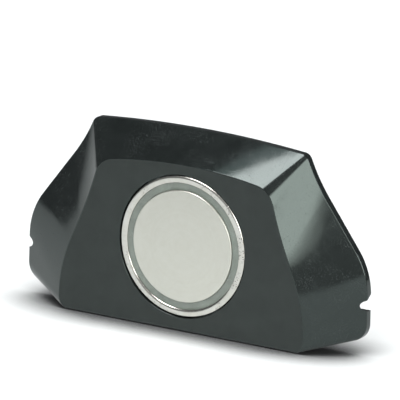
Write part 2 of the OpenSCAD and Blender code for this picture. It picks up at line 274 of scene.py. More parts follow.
def block(low, high, edge=0.15, segments=2):
    """Points and faces of a block with rounded edges."""
    bm = bmesh.new()
    bmesh.ops.create_cube(bm, size=1)
    size = Vector(high) - Vector(low)
    mid = (Vector(high) + Vector(low)) / 2
    for v in bm.verts:
        v.co = Vector([v.co[k] * size[k] + mid[k] for k in range(3)])
    if edge > 0:
        bmesh.ops.bevel(bm, geom=bm.edges[:], offset=edge, segments=segments,
                        profile=0.5, affect="EDGES")
    verts = [v.co.copy() for v in bm.verts]
    faces = [tuple(v.index for v in f.verts) for f in bm.faces]
    bm.free()
    return verts, faces


def prism(outline, x_a, x_b):
    """Points and faces of an outline in [y, z], drawn out along X."""
    n = len(outline)
    verts = [Vector((x, p[0], p[1])) for x in (x_a, x_b) for p in outline]
    faces = [tuple(range(n))[::-1], tuple(range(n, 2 * n))]
    faces += [(i, (i + 1) % n, n + (i + 1) % n, n + i) for i in range(n)]
    return verts, faces


def gather(name, parts, sharp=35):
    """One mesh object from several sets of points and faces."""
    verts, faces = [], []
    for v, f in parts:
        base = len(verts)
        verts += v
        faces += [tuple(base + i for i in face) for face in f]
    return add_mesh(name, verts, faces, sharp)


def carve(piece, others, operation):
    """A boolean with each of the other objects, which are then removed."""
    for other in others:
        step = piece.modifiers.new("cut", "BOOLEAN")
        step.operation = operation
        step.solver = "EXACT"
        step.object = other
        depsgraph = bpy.context.evaluated_depsgraph_get()
        mesh = bpy.data.meshes.new_from_object(piece.evaluated_get(depsgraph))
        piece.modifiers.clear()
        piece.data = mesh
        bpy.data.objects.remove(other)


def place(piece, body, finish, nodes=()):
    """Gives a piece its body, slot and finishes, and the nodes it stands for."""
    piece.data.materials.clear()
    for m in finish if isinstance(finish, (list, tuple)) else (finish,):
        piece.data.materials.append(m)
    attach(piece, body)
    if nodes:
        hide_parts(*nodes)
    return piece


# ----------------------------------------------------------- shader helpers
class Tree:
    """Short ways to add and join the nodes of one node tree."""

    def __init__(self, tree):
        self.tree = tree

    def add(self, kind, inputs=None, **settings):
        made = self.tree.nodes.new(kind)
        for key, value in settings.items():
            setattr(made, key, value)
        for key, value in (inputs or {}).items():
            if isinstance(value, bpy.types.NodeSocket):
                self.tree.links.new(value, made.inputs[key])
            else:
                made.inputs[key].default_value = value
        return made

    def math(self, operation, a, b=0.0, clamp=False):
        return self.add("ShaderNodeMath", {0: a, 1: b}, operation=operation,
                        use_clamp=clamp).outputs[0]

    def remap(self, value, low, high, to_low=0.0, to_high=1.0):
        return self.add("ShaderNodeMapRange", {"Value": value, "From Min": low,
                        "From Max": high, "To Min": to_low, "To Max": to_high}).outputs[0]

    def blend(self, factor, a, b):
        made = self.add("ShaderNodeMix", data_type="RGBA")
        for key, value in ((0, factor), (6, a), (7, b)):
            if isinstance(value, bpy.types.NodeSocket):
                self.tree.links.new(value, made.inputs[key])
            else:
                made.inputs[key].default_value = value if key == 0 else (*value, 1)
        return made.outputs[2]

    def noise(self, vector, scale, detail=2.0, rough=0.5, distortion=0.0):
        return self.add("ShaderNodeTexNoise", {"Vector": vector, "Scale": scale,
                        "Detail": detail, "Roughness": rough,
                        "Distortion": distortion}).outputs["Fac"]

    def place(self):
        """The place on the piece, in millimetres."""
        where = self.add("ShaderNodeTexCoord").outputs["Object"]
        return self.add("ShaderNodeVectorMath", {0: where, "Scale": 1000.0},
                        operation="SCALE").outputs[0]


def group(name, inputs, outputs):
    """A shader node group with named inputs and outputs."""
    tree = bpy.data.node_groups.new(name, "ShaderNodeTree")
    for label, value in inputs.items():
        made = tree.interface.new_socket(name=label, in_out="INPUT",
                                         socket_type="NodeSocketFloat")
        made.default_value = value
    for label in outputs:
        tree.interface.new_socket(name=label, in_out="OUTPUT", socket_type="NodeSocketFloat")
    t = Tree(tree)
    return t, t.add("NodeGroupInput").outputs, t.add("NodeGroupOutput").inputs


def send(t, value, socket):
    """Joins an output to an input."""
    t.tree.links.new(value, socket)


def make_moulded_grain():
    """A fine eroded grain, and the slow shade and waviness of a moulding."""
    t, given, out = group("moulded grain", {"Size": 0.25, "Wave": 18.0},
                          ["Grain", "Shade", "Waviness"])
    where = t.place()
    fine = t.math("DIVIDE", 1.0, given["Size"])
    slow = t.math("DIVIDE", 1.0, given["Wave"])
    send(t, t.noise(where, fine, 3.0, 0.6), out["Grain"])
    shade = t.noise(where, t.math("MULTIPLY", slow, 2.3), 4.0, 0.55, 0.4)
    send(t, t.remap(shade, 0.3, 0.7), out["Shade"])
    send(t, t.noise(where, slow, 1.0, 0.4), out["Waviness"])
    return t.tree


def make_scratches():
    """Long hairline scratches in a few directions, broken up into short runs."""
    t, given, out = group("hairline scratches", {"Length": 14.0, "Width": 0.12,
                          "Amount": 0.3}, ["Mask"])
    where = t.place()
    limit = t.math("SUBTRACT", 0.80, t.math("MULTIPLY", given["Amount"], 0.16))
    total = None
    for k, turn in enumerate(((0.3, 0.2, 0.9), (-0.5, 1.1, -0.4), (1.2, -0.7, 0.2))):
        turned_place = t.add("ShaderNodeVectorRotate", {"Vector": where,
                             "Rotation": turn}, rotation_type="EULER_XYZ").outputs[0]
        stretch = t.add("ShaderNodeCombineXYZ", {
            "X": t.math("DIVIDE", 1.0, given["Length"]),
            "Y": t.math("DIVIDE", 0.5, given["Width"]),
            "Z": t.math("DIVIDE", 0.5, given["Width"])}).outputs[0]
        drawn = t.add("ShaderNodeVectorMath", {0: turned_place, 1: stretch},
                      operation="MULTIPLY").outputs[0]
        line = t.noise(drawn, 1.0, 0.0)
        runs = t.noise(where, 0.07 + 0.02 * k, 2.0)
        keen = t.add("ShaderNodeMapRange", {"Value": line, "From Min": limit,
                     "From Max": t.math("ADD", limit, 0.05)}).outputs[0]
        keen = t.math("MULTIPLY", keen, t.remap(runs, 0.48, 0.62))
        total = keen if total is None else t.math("MAXIMUM", total, keen)
    send(t, total, out["Mask"])
    return t.tree


def make_edge_wear():
    """Where a surface turns sharply: edges that catch hands and tools."""
    t, given, out = group("edge wear", {"Width": 0.4, "Break": 3.0}, ["Mask"])
    radius = t.math("MULTIPLY", given["Width"], MM)
    soft = t.add("ShaderNodeBevel", {"Radius": radius}, samples=6).outputs[0]
    true = t.add("ShaderNodeNewGeometry").outputs["Normal"]
    near = t.add("ShaderNodeVectorMath", {0: soft, 1: true},
                 operation="DOT_PRODUCT").outputs["Value"]
    edge = t.remap(near, 0.998, 0.93)
    broken = t.noise(t.place(), t.math("DIVIDE", 1.0, given["Break"]), 4.0, 0.65)
    send(t, t.math("MULTIPLY", edge, t.remap(broken, 0.35, 0.65)), out["Mask"])
    return t.tree


def make_handling():
    """Faint smears and cloudy patches left by handling."""
    t, given, out = group("handling marks", {"Size": 9.0}, ["Smear", "Dust"])
    where = t.place()
    rate = t.math("DIVIDE", 1.0, given["Size"])
    cloud = t.noise(where, rate, 5.0, 0.6, 1.4)
    send(t, t.remap(cloud, 0.42, 0.66), out["Smear"])
    speck = t.noise(where, 3.2, 2.0, 0.6)
    send(t, t.math("MULTIPLY", t.remap(speck, 0.68, 0.78), t.remap(cloud, 0.3, 0.7)),
         out["Dust"])
    return t.tree


def make_turning():
    """Lathe lines about the sensing axis."""
    t, given, out = group("lathe lines", {"Pitch": 0.12}, ["Line", "Band"])
    where = t.place()
    parts = t.add("ShaderNodeSeparateXYZ", {0: where}).outputs
    flat = t.add("ShaderNodeCombineXYZ", {"X": parts["X"], "Y": parts["Z"]}).outputs[0]
    radius = t.add("ShaderNodeVectorMath", {0: flat}, operation="LENGTH").outputs["Value"]
    fine = t.math("DIVIDE", radius, given["Pitch"])
    line = t.add("ShaderNodeTexNoise", {"W": fine, "Scale": 1.0, "Detail": 3.0},
                 noise_dimensions="1D").outputs["Fac"]
    band = t.add("ShaderNodeTexNoise", {"W": radius, "Scale": 0.5, "Detail": 2.0},
                 noise_dimensions="1D").outputs["Fac"]
    send(t, line, out["Line"])
    send(t, t.remap(band, 0.35, 0.65), out["Band"])
    return t.tree


def make_pits():
    """Small pits in a plated surface, gathered in patches."""
    t, given, out = group("plating pits", {"Spacing": 1.6, "Radius": 0.16, "Share": 0.4},
                          ["Mask"])
    where = t.place()
    cell = t.add("ShaderNodeTexVoronoi", {"Vector": where,
                 "Scale": t.math("DIVIDE", 1.0, given["Spacing"])})
    size = t.math("DIVIDE", given["Radius"], given["Spacing"])
    dot = t.add("ShaderNodeMapRange", {"Value": cell.outputs["Distance"],
                "From Min": size, "From Max": t.math("MULTIPLY", size, 0.6)}).outputs[0]
    pick = t.add("ShaderNodeSeparateColor", {0: cell.outputs["Color"]}).outputs[0]
    chosen = t.math("LESS_THAN", pick, given["Share"])
    patch = t.remap(t.noise(where, 0.09, 2.0, 0.6), 0.47, 0.60)
    send(t, t.math("MULTIPLY", t.math("MULTIPLY", dot, chosen), patch), out["Mask"])
    return t.tree


GRAIN = make_moulded_grain()
SCRATCH = make_scratches()
WEAR = make_edge_wear()
HANDLING = make_handling()
TURNING = make_turning()
PITS = make_pits()


def use(t, tree, **values):
    """The outputs of a node group placed with its own values."""
    made = t.add("ShaderNodeGroup", node_tree=tree)
    for key, value in values.items():
        made.inputs[key].default_value = value
    return made.outputs


def finish(name, **constant):
    """A material with its Principled shader, whose fixed values are on its sockets."""
    m = bpy.data.materials.new(name)
    m.use_nodes = True
    m.node_tree.nodes.clear()
    t = Tree(m.node_tree)
    shader = t.add("ShaderNodeBsdfPrincipled")
    output = t.add("ShaderNodeOutputMaterial")
    t.tree.links.new(shader.outputs[0], output.inputs["Surface"])
    for key, value in constant.items():
        shader.inputs[key.replace("_", " ")].default_value = value
    return m, t, shader.inputs


def bump(t, height, depth, strength=1.0, under=None):
    """A bump of the given depth in millimetres."""
    inputs = {"Height": height, "Distance": depth * MM, "Strength": strength}
    if under is not None:
        inputs["Normal"] = under
    return t.add("ShaderNodeBump", inputs).outputs[0]


def moulded_plastic(name, colour, rough, grain=0.25, depth=0.01, scratch=0.2, wear=0.5,
                    waviness=0.0, smear=0.06, scratch_length=12.0, **constant):
    """A moulded plastic: grain, slow shade, scratches, worn edges and smears."""
    m, t, shader = finish(name, **constant)
    g = use(t, GRAIN, Size=grain)
    s = use(t, SCRATCH, Amount=scratch, Length=scratch_length)["Mask"]
    w = use(t, WEAR)["Mask"]
    h = use(t, HANDLING)
    dark = [c * 0.82 for c in colour]
    light = [min(1, c * 1.18 + 0.002) for c in colour]
    worn = [min(1, c * 1.5 + 0.03) for c in colour]
    dusty = [min(1, c * 1.3 + 0.05) for c in colour]
    body = t.blend(g["Shade"], dark, light)
    body = t.blend(t.math("MULTIPLY", s, 0.35), body, worn)
    body = t.blend(t.math("MULTIPLY", h["Dust"], 0.35), body, dusty)
    body = t.blend(t.math("MULTIPLY", w, wear), body, worn)
    send(t, body, shader["Base Color"])
    r = t.remap(g["Grain"], 0.3, 0.7, rough * 0.9, rough * 1.12)
    r = t.math("ADD", r, t.math("MULTIPLY", h["Smear"], smear))
    r = t.math("ADD", r, t.math("MULTIPLY", s, 0.25), clamp=True)
    send(t, r, shader["Roughness"])
    normal = bump(t, g["Grain"], depth)
    if waviness:
        normal = bump(t, g["Waviness"], waviness, 1.0, normal)
    normal = bump(t, t.math("SUBTRACT", 1.0, s), 0.004, 0.6, normal)
    send(t, normal, shader["Normal"])
    return m


def worked_metal(name, colour, rough, pits=0.0, lines=0.004, pitch=0.12, tarnish=0.3,
                 scratch=0.3, wear=0.25, pit_colour=(0.04, 0.04, 0.04), **constant):
    """A turned or pressed metal: lathe lines, tarnish, pits, scratches and edges."""
    m, t, shader = finish(name, Metallic=1.0, **constant)
    l = use(t, TURNING, Pitch=pitch)
    h = use(t, HANDLING, Size=5.0)
    s = use(t, SCRATCH, Amount=scratch, Length=6.0, Width=0.06)["Mask"]
    w = use(t, WEAR, Width=0.25)["Mask"]
    aged = [c * k for c, k in zip(colour, (0.86, 0.84, 0.78))]
    bright = [min(1, c * 1.12 + 0.02) for c in colour]
    body = t.blend(t.math("MULTIPLY", h["Smear"], tarnish), colour, aged)
    body = t.blend(t.math("MULTIPLY", l["Band"], 0.12), body, aged)
    body = t.blend(t.math("MULTIPLY", w, wear), body, bright)
    r = t.remap(l["Line"], 0.3, 0.7, rough * 0.85, rough * 1.15)
    r = t.math("ADD", r, t.math("MULTIPLY", h["Smear"], 0.07))
    r = t.math("ADD", r, t.math("MULTIPLY", s, 0.15), clamp=True)
    normal = bump(t, l["Line"], lines)
    if pits:
        p = use(t, PITS, Share=pits, Spacing=0.8, Radius=0.3)["Mask"]
        body = t.blend(t.math("MULTIPLY", p, 0.85), body, pit_colour)
        r = t.math("MAXIMUM", r, t.math("MULTIPLY", p, 0.6))
        normal = bump(t, t.math("SUBTRACT", 1.0, p), 0.03, 1.0, normal)
    send(t, body, shader["Base Color"])
    send(t, r, shader["Roughness"])
    send(t, normal, shader["Normal"])
    return m


def board_laminate(name):
    """Solder mask over tracks: raised lines and a fine weave below the colour."""
    m, t, shader = finish(name, Specular_IOR_Level=0.5, Coat_Weight=0.25,
                          Coat_Roughness=0.12)
    where = t.place()
    parts = t.add("ShaderNodeSeparateXYZ", {0: where}).outputs
    flat = t.add("ShaderNodeCombineXYZ", {"X": parts["X"], "Y": parts["Z"]}).outputs[0]
    cell = t.add("ShaderNodeTexBrick", {
        "Vector": flat, "Scale": 0.30, "Mortar Size": 0.035, "Mortar Smooth": 0.2,
        "Bias": 0.0, "Brick Width": 1.9, "Row Height": 0.42}).outputs["Fac"]
    track = t.remap(cell, 0.2, 0.8)
    weave = t.add("ShaderNodeTexChecker", {"Vector": flat, "Scale": 2.4}).outputs["Fac"]
    h = use(t, HANDLING, Size=7.0)
    body = t.blend(track, (0.012, 0.095, 0.045), (0.03, 0.19, 0.085))
    body = t.blend(t.math("MULTIPLY", weave, 0.12), body, (0.05, 0.22, 0.11))
    body = t.blend(t.math("MULTIPLY", h["Dust"], 0.3), body, (0.3, 0.34, 0.3))
    send(t, body, shader["Base Color"])
    send(t, t.remap(h["Smear"], 0, 1, 0.24, 0.4), shader["Roughness"])
    send(t, bump(t, track, 0.035), shader["Normal"])
    return m


SHELL_GLOSS = moulded_plastic("shell gloss", (0.0085, 0.0105, 0.0102), 0.075, grain=0.6,
                              depth=0.0006, scratch=0.55, wear=0.12, waviness=0.035,
                              smear=0.05, IOR=1.5, Specular_Tint=(0.84, 1.0, 0.96, 1))
SHELL_SATIN = moulded_plastic("shell satin front", (0.0100, 0.0125, 0.0118), 0.42,
                              grain=0.16, depth=0.006, scratch=0.1, wear=0.3, smear=0.04,
                              IOR=1.5, Specular_IOR_Level=0.42,
                              Specular_Tint=(0.88, 1.0, 0.96, 1))
PLATE_PLASTIC = moulded_plastic("base plate plastic", (0.018, 0.02, 0.02), 0.38, grain=0.3,
                                depth=0.012, scratch=0.35, wear=0.5, smear=0.1)
RUBBER = moulded_plastic("seal rubber", (0.014, 0.014, 0.014), 0.68, grain=0.2, depth=0.012,
                         scratch=0.05, wear=0.2)
TERMINAL = moulded_plastic("terminal plastic", (0.035, 0.16, 0.095), 0.36, grain=0.2,
                           depth=0.006, scratch=0.15)
RED_PLASTIC = moulded_plastic("switch plastic", (0.30, 0.018, 0.012), 0.34, grain=0.2,
                              depth=0.005, scratch=0.1)
WHITE_PLASTIC = moulded_plastic("slider plastic", (0.72, 0.71, 0.66), 0.38, grain=0.2,
                                depth=0.004, scratch=0.1)
BLUE_PLASTIC = moulded_plastic("trimmer plastic", (0.02, 0.07, 0.27), 0.33, grain=0.2,
                               depth=0.005, scratch=0.1)
ROTOR = worked_metal("trimmer rotor brass", (0.70, 0.55, 0.28), 0.3, lines=0.003)
BLACK_PLASTIC = moulded_plastic("black moulding compound", (0.012, 0.012, 0.013), 0.45,
                                grain=0.12, depth=0.006, scratch=0.1)
CAPACITOR = moulded_plastic("capacitor body", (0.45, 0.26, 0.07), 0.42, grain=0.15,
                            depth=0.004, scratch=0.1)
BOBBIN = moulded_plastic("bobbin plastic", (0.62, 0.60, 0.50), 0.42, grain=0.2, depth=0.006,
                         scratch=0.1)
FERRITE = moulded_plastic("ferrite", (0.035, 0.035, 0.038), 0.5, grain=0.1, depth=0.015,
                          scratch=0.2, wear=0.4)
SHEET = moulded_plastic("insulating film", (0.55, 0.27, 0.05), 0.3, grain=0.5, depth=0.003,
                        scratch=0.3)
NICKEL = worked_metal("plated shield", (0.505, 0.505, 0.475), 0.15, pits=0.9, tarnish=0.5,
                      lines=0.0012, pitch=0.3)
FACE_METAL = worked_metal("sensing face metal", (0.498, 0.503, 0.458), 0.33, tarnish=0.10,
                          scratch=0.12, lines=0.0012, pitch=0.16)
RESIN = moulded_plastic("isolating resin", (0.168, 0.196, 0.168), 0.22, grain=0.4,
                        depth=0.002, scratch=0.1, wear=0.2, Coat_Weight=0.4,
                        Coat_Roughness=0.08)
STEEL = worked_metal("screw steel", (0.62, 0.61, 0.58), 0.26, tarnish=0.4)
NUT_STEEL = worked_metal("nut steel", (0.58, 0.58, 0.56), 0.3, pits=0.08, tarnish=0.45)
BRASS = worked_metal("contact brass", (0.78, 0.62, 0.33), 0.26, tarnish=0.4)
COPPER = worked_metal("enamelled copper", (0.72, 0.31, 0.13), 0.28, tarnish=0.3)
SOLDER = worked_metal("solder", (0.70, 0.71, 0.72), 0.3, tarnish=0.3, lines=0.0)
BOARD = board_laminate("board laminate")

NODE_FINISH = {
    "base_plate": PLATE_PLASTIC, "base_gasket": RUBBER, "terminal_board": BOARD,
    "terminal_board_screws": STEEL, "terminal_block_left": TERMINAL,
    "terminal_block_right": TERMINAL, "wire_clamps": BRASS, "terminal_screws": STEEL,
    "switch_body": RED_PLASTIC, "switch_slider_upper": WHITE_PLASTIC,
    "switch_slider_lower": WHITE_PLASTIC, "trimmer_body": BLUE_PLASTIC,
    "trimmer_rotor": ROTOR, "link_header": BLACK_PLASTIC, "link_pins": BRASS,
    "output_driver": BLACK_PLASTIC, "filter_capacitor": CAPACITOR,
    "front_housing": SHELL_GLOSS, "shield_cup": NICKEL, "head_seal": RUBBER,
    "clamp_nut": NUT_STEEL, "sensing_face": FACE_METAL, "isolating_ring": RESIN,
    "ferrite_core": FERRITE, "coil_bobbin": BOBBIN, "coil_winding": COPPER,
    "coil_leads": COPPER, "insulator_disc": SHEET, "main_board": BOARD,
    "main_board_screws": STEEL, "oscillator_chip": BLACK_PLASTIC,
    "link_socket": BLACK_PLASTIC,
}
for node_name, node_finish in NODE_FINISH.items():
    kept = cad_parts[node_name]
    kept.data.materials.clear()
    kept.data.materials.append(node_finish)


# --------------------------------------------------------------- the shell
def build_shell():
    """The moulded shell as one closed skin: the hole for the head, the front face,
    its rounded edge, the flared wall, the rim and the cavity behind."""
    edge_r, crease_r, hole_edge = 0.75, 0.45, 0.2
    support = 0.12
    front, rim = bell(FRONT), bell(RIM)
    normals, rim_normals = outward(front), outward(rim)
    angles = [math.atan2(p[1], p[0]) for p in front]
    f3, r3 = lay(front, FRONT_Y), lay(rim, RIM_Y)
    n3 = [Vector((n[0], 0, n[1])) for n in normals]
    count = len(front)
    face_edge, fillet, wall, crease = [], [], [], []
    for i in range(count):
        run = r3[i] - f3[i]
        out_a = run.dot(n3[i])
        out_b = run.dot(Vector((rim_normals[i][0], 0, rim_normals[i][1])))
        turn = math.atan2(run[1], out_a)
        cut = edge_r * math.tan(turn / 2)
        across = math.hypot(run[1], out_a)
        start = f3[i] - n3[i] * cut
        wall_start = cut / across
        face_edge.append(start - n3[i] * support)
        fillet.append(conic(start, f3[i], f3[i] + run * wall_start, math.cos(turn / 2), 6))
        turn_b = abs(math.atan2(out_b, run[1]))
        cut_b = max(0.05, crease_r * math.tan(turn_b / 2))
        wall_end = 1 - cut_b / math.hypot(run[1], out_b)
        band = Vector((0, 1, 0))
        crease.append(conic(f3[i] + run * wall_end, r3[i], r3[i] + band * cut_b,
                            math.cos(turn_b / 2), 5))
        a = wall_start + support / across
        b = wall_end - support / across
        wall.append([f3[i] + run * (a + (b - a) * k / 12) for k in range(13)])

    def across_rows(columns):
        return [[c[k] for c in columns] for k in range(len(columns[0]))]

    cavity_y = FRONT_Y + FRONT_WALL
    hole = [circle(angles, SEAT_R + hole_edge * (1 - math.sin(a)),
                   FRONT_Y + hole_edge * (1 - math.cos(a)))
            for a in [math.pi / 2 * k / 5 for k in range(5, -1, -1)]]
    face_rows = [circle(angles, SEAT_R + hole_edge + support, FRONT_Y), face_edge]
    rings = hole + face_rows
    rings += across_rows(fillet) + across_rows(wall) + across_rows(crease)
    back = 0.25
    rings += [lay(rim, -back - support), lay(rim, -back)]
    rings += [lay(bell(RIM, back * (1 - math.cos(a))), back * (math.sin(a) - 1))
              for a in [math.pi / 2 * k / 3 for k in range(1, 4)]]
    rings += [lay(bell(RIM, RIM_WALL - 0.2), 0), lay(bell(RIM, RIM_WALL), -0.2),
              lay(bell(RIM, RIM_WALL), RIM_Y), lay(bell(RIM, WALL_INSET), RIM_Y),
              lay(between(WALL_INSET, -8), -8),
              lay(between(WALL_INSET, cavity_y + 0.5), cavity_y + 0.5),
              lay(between(WALL_INSET + 0.06, cavity_y + 0.2), cavity_y + 0.2),
              lay(between(WALL_INSET + 0.3, cavity_y), cavity_y),
              circle(angles, SEAT_R, cavity_y)]
    verts, faces = skin(rings, closed=True)
    shell = add_mesh("moulded_shell", verts, faces)
    well = turned("well", rounded([(SEAT_R + 0.01, cavity_y - 0.5), (WELL_R, cavity_y - 0.5),
                  (WELL_R, SEAT_BACK_Y), (BORE_R, SEAT_BACK_Y), (BORE_R, SEAL_BACK_Y),
                  (SEAT_R + 0.01, SEAL_BACK_Y)], (0, 0, 0.4, 0.3, 0.2, 0), 3))
    socket_r, socket_end = POST_R + 0.05, POST_TIP_Y - 0.6
    bosses = [turned("boss", rounded([(0, cavity_y - 0.5), (BOSS_R, cavity_y - 0.5),
                     (BOSS_R, BOSS_Y), (socket_r, BOSS_Y), (socket_r, socket_end),
                     (0, socket_end)],
                     (0, 0, 0.3, 0.25, 0, 0), 3), at=p, segments=48) for p in POSTS]
    carve(shell, [well] + bosses, "UNION")
    carve(shell, inlet_cutters(), "DIFFERENCE")
    tidy(shell.data, 32)
    shell.data.materials.append(SHELL_GLOSS)
    shell.data.materials.append(SHELL_SATIN)
    for p in shell.data.polygons:
        on_face = abs(p.center[1] / MM - FRONT_Y) < 0.004 and abs(p.normal[1]) > 0.999
        p.material_index = 1 if on_face else 0
    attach(shell, "shell")
    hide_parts("front_housing")


def inlet_outline():
    """The cable inlet seen from the side, as [y, z]: a round inner end, a
    flat lower flank and a slanted upper flank."""
    low, high, depth, r = -16.75, -9.45, 4.6, 2.5
    centre = (-depth + r, low + r)
    top_y = 1.0
    slope_to = (0.0, high)
    dy, dz = slope_to[0] - centre[0], slope_to[1] - centre[1]
    reach = math.hypot(dy, dz)
    lean = math.atan2(dz, dy) + math.acos(r / reach)
    out = [(top_y, low)]
    steps = 16
    for k in range(steps + 1):
        a = -math.pi / 2 - (2 * math.pi - lean - math.pi / 2) * k / steps
        out.append((centre[0] + r * math.cos(a), centre[1] + r * math.sin(a)))
    slant = (high - out[-1][1]) / (0 - out[-1][0])
    out.append((top_y, high + slant * top_y))
    return out


def inlet_cutters():
    """The shape of the cable inlet at each side, to be cut away."""
    cutters = []
    for side in (-1, 1):
        verts, faces = prism(inlet_outline(), side * (RIM["half"] - 12),
                             side * (RIM["half"] + 2))
        cutters.append(add_mesh("inlet", verts, faces))
    return cutters


build_shell()


# ---------------------------------------------------------------- the head
def build_head():
    """The domed shield ring, the dished isolating ring and the sensing disc."""
    web_y = -13.3
    inner_r = 22.0
    crown_r = (SHIELD_R + LIP_R) / 2
    crown_half = (SHIELD_R - LIP_R) / 2
    crown_rise = 0.62
    crown = [(crown_r - crown_half * math.cos(a), HEAD_Y + crown_rise * (1 - math.sin(a)))
             for a in [math.pi * k / 16 for k in range(17)]]
    shield = turned("plated_shield_ring", rounded(
        [(0, -6.9), (0, -8.4), (inner_r, -8.4), (inner_r, web_y), (LIP_R, web_y)] + crown +
        [(SHIELD_R, -12.3), (23.5, -12.3), (23.5, -6.9)],
        [0, 0, 0.3, 0.1, 0] + [0] * len(crown) + [0.2, 0.3, 0.3], 7), segments=256)
    place(shield, "shell", NICKEL, ["shield_cup"])
    dip = [(FACE_R + 0.1 + 2.9 * k / 12, HEAD_Y + 0.72 + 0.20 * math.sin(math.pi * k / 12))
           for k in range(13)]
    ring = turned("isolating_ring_moulding", [
        (22.1, web_y), (22.1, HEAD_Y + 1.4), (FACE_R + 0.05, HEAD_Y + 1.4)] + dip + [
        (LIP_R - 0.03, web_y)], segments=256)
    place(ring, "shell", RESIN, ["isolating_ring"])
    face = turned("sensing_face_disc", rounded([
        (0, HEAD_Y + 1.4), (0, HEAD_Y), (FACE_R, HEAD_Y), (FACE_R, HEAD_Y + 1.4)],
        (0, 0, 0.4, 0.1), 6), segments=256)
    place(face, "shell", FACE_METAL, ["sensing_face"])


build_head()


# ----------------------------------------------------------- the base plate
def build_base():
    """The base plate with its groove, posts and countersunk holes, and the seal."""
    inset, edge = PLATE_INSET, 0.35
    rounds = [(edge * (1 - math.cos(a)), edge * (1 - math.sin(a)))
              for a in [math.pi / 2 * k / 3 for k in range(4)]]
    rings = [lay(bell(RIM, 4.6), PLATE_FRONT_Y)]
    rings += [lay(bell(RIM, inset + i), PLATE_FRONT_Y + j) for j, i in rounds]
    rings += [lay(bell(RIM, inset + i), -j) for i, j in rounds[::-1]][::-1]
    depth, near, far = 0.45, 4.2, 5.2
    rings += [lay(bell(RIM, near), 0), lay(bell(RIM, near + 0.12), -depth),
              lay(bell(RIM, far - 0.12), -depth), lay(bell(RIM, far), 0)]
    verts, faces = skin(rings, caps=True)
    plate = add_mesh("base_plate_moulding", verts, faces)
    pegs = [turned("peg", rounded([(0, PLATE_FRONT_Y + 0.4), (0, POST_TIP_Y),
                   (POST_R, POST_TIP_Y), (POST_R, PLATE_FRONT_Y + 0.4)], (0, 0, 0.5, 0), 4),
                   at=p, segments=48) for p in POSTS]
    pad_r = 2.6
    pads = [turned("pad", [(0, PLATE_FRONT_Y + 0.4), (0, BACK_BOARD_Y),
                   (pad_r, BACK_BOARD_Y), (pad_r, PLATE_FRONT_Y + 0.4)], at=p, segments=48)
            for p in BOARD_SCREWS]
    carve(plate, pegs + pads, "UNION")
    sink = 1.0
    holes = [turned("hole", [(0, PLATE_FRONT_Y - 1), (0, 1), (FIXING_R, 1), (FIXING_R, -0.001),
                    (FIXING_R, -0.9), (FIXING_R, PLATE_FRONT_Y + 0.9),
                    (FIXING_R + sink, PLATE_FRONT_Y - 0.1),
                    (FIXING_R + sink, PLATE_FRONT_Y - 1)],
                    at=p, segments=64) for p in FIXINGS]
    holes += [turned("hole", [(0, BACK_BOARD_Y - 1), (0, -0.8), (PILOT_R, -0.8),
                     (PILOT_R, BACK_BOARD_Y - 1)], at=p, segments=32) for p in BOARD_SCREWS]
    mark_r, mark_depth = 3.4, 0.3
    holes += [turned("ejector mark", [(0, -mark_depth), (0, 1), (mark_r, 1),
                     (mark_r, -mark_depth)], at=p, segments=48) for p in EJECTOR_MARKS]
    carve(plate, holes + inlet_cutters(), "DIFFERENCE")
    tidy(plate.data, 32)
    place(plate, "base", PLATE_PLASTIC, ["base_plate"])

    rings = [lay(bell(RIM, i), y) for i, y in (
        (PLATE_INSET, PLATE_FRONT_Y - 0.05), (PLATE_INSET + 0.15, PLATE_FRONT_Y),
        (WALL_INSET - 0.15, PLATE_FRONT_Y), (WALL_INSET, PLATE_FRONT_Y - 0.05),
        (WALL_INSET, RIM_Y), (PLATE_INSET, RIM_Y))]
    verts, faces = skin(rings, closed=True)
    seal = add_mesh("base_seal_ring", verts, faces)
    carve(seal, inlet_cutters(), "DIFFERENCE")
    tidy(seal.data, 32)
    place(seal, "base", RUBBER, ["base_gasket"])


build_base()


# --------------------------------------------------- small parts of the boards
def chip_legs(node, body, name, toward, count, pitch):
    """Bent tin legs along the two upright sides of a chip."""
    low, high = [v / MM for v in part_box(node)]
    mid = (low + high) / 2
    foot = high[1] if toward > 0 else low[1]
    parts = []
    for side in (-1, 1):
        edge_x = mid[0] + side * (high[0] - low[0]) / 2
        for k in range(count):
            z = mid[2] + (k - (count - 1) / 2) * pitch
            for a, b, y_a, y_b in ((-0.1, 0.45, 0.35, 0.5), (0.33, 0.45, 0.0, 0.5),
                                   (0.33, 0.95, 0.0, 0.14)):
                x_low, x_high = sorted((edge_x + side * a, edge_x + side * b))
                y_low, y_high = sorted((foot - toward * y_a, foot - toward * y_b))
                parts.append(block((x_low, y_low, z - 0.18), (x_high, y_high, z + 0.18), 0.03, 1))
    place(gather(name, parts), body, SOLDER)


# The flared cone of a solder joint, as shares of its radius and height
JOINT_CONE = ((1.0, 0.0), (0.93, 0.12), (0.62, 0.34), (0.36, 0.68), (0.2, 1.0))


def solder_joints(name, body, spots, y, toward, radius, height):
    """Small cone-shaped joints standing on a board."""
    parts = []
    for x, z in spots:
        steps = 20
        rings = []
        for r, h in JOINT_CONE:
            rings.append([Vector((x + radius * r * math.cos(2 * math.pi * k / steps),
                                  y + toward * height * h,
                                  z + radius * r * math.sin(2 * math.pi * k / steps)))
                          for k in range(steps)])
        parts.append(skin(rings, caps=True))
    place(gather(name, parts), body, SOLDER)


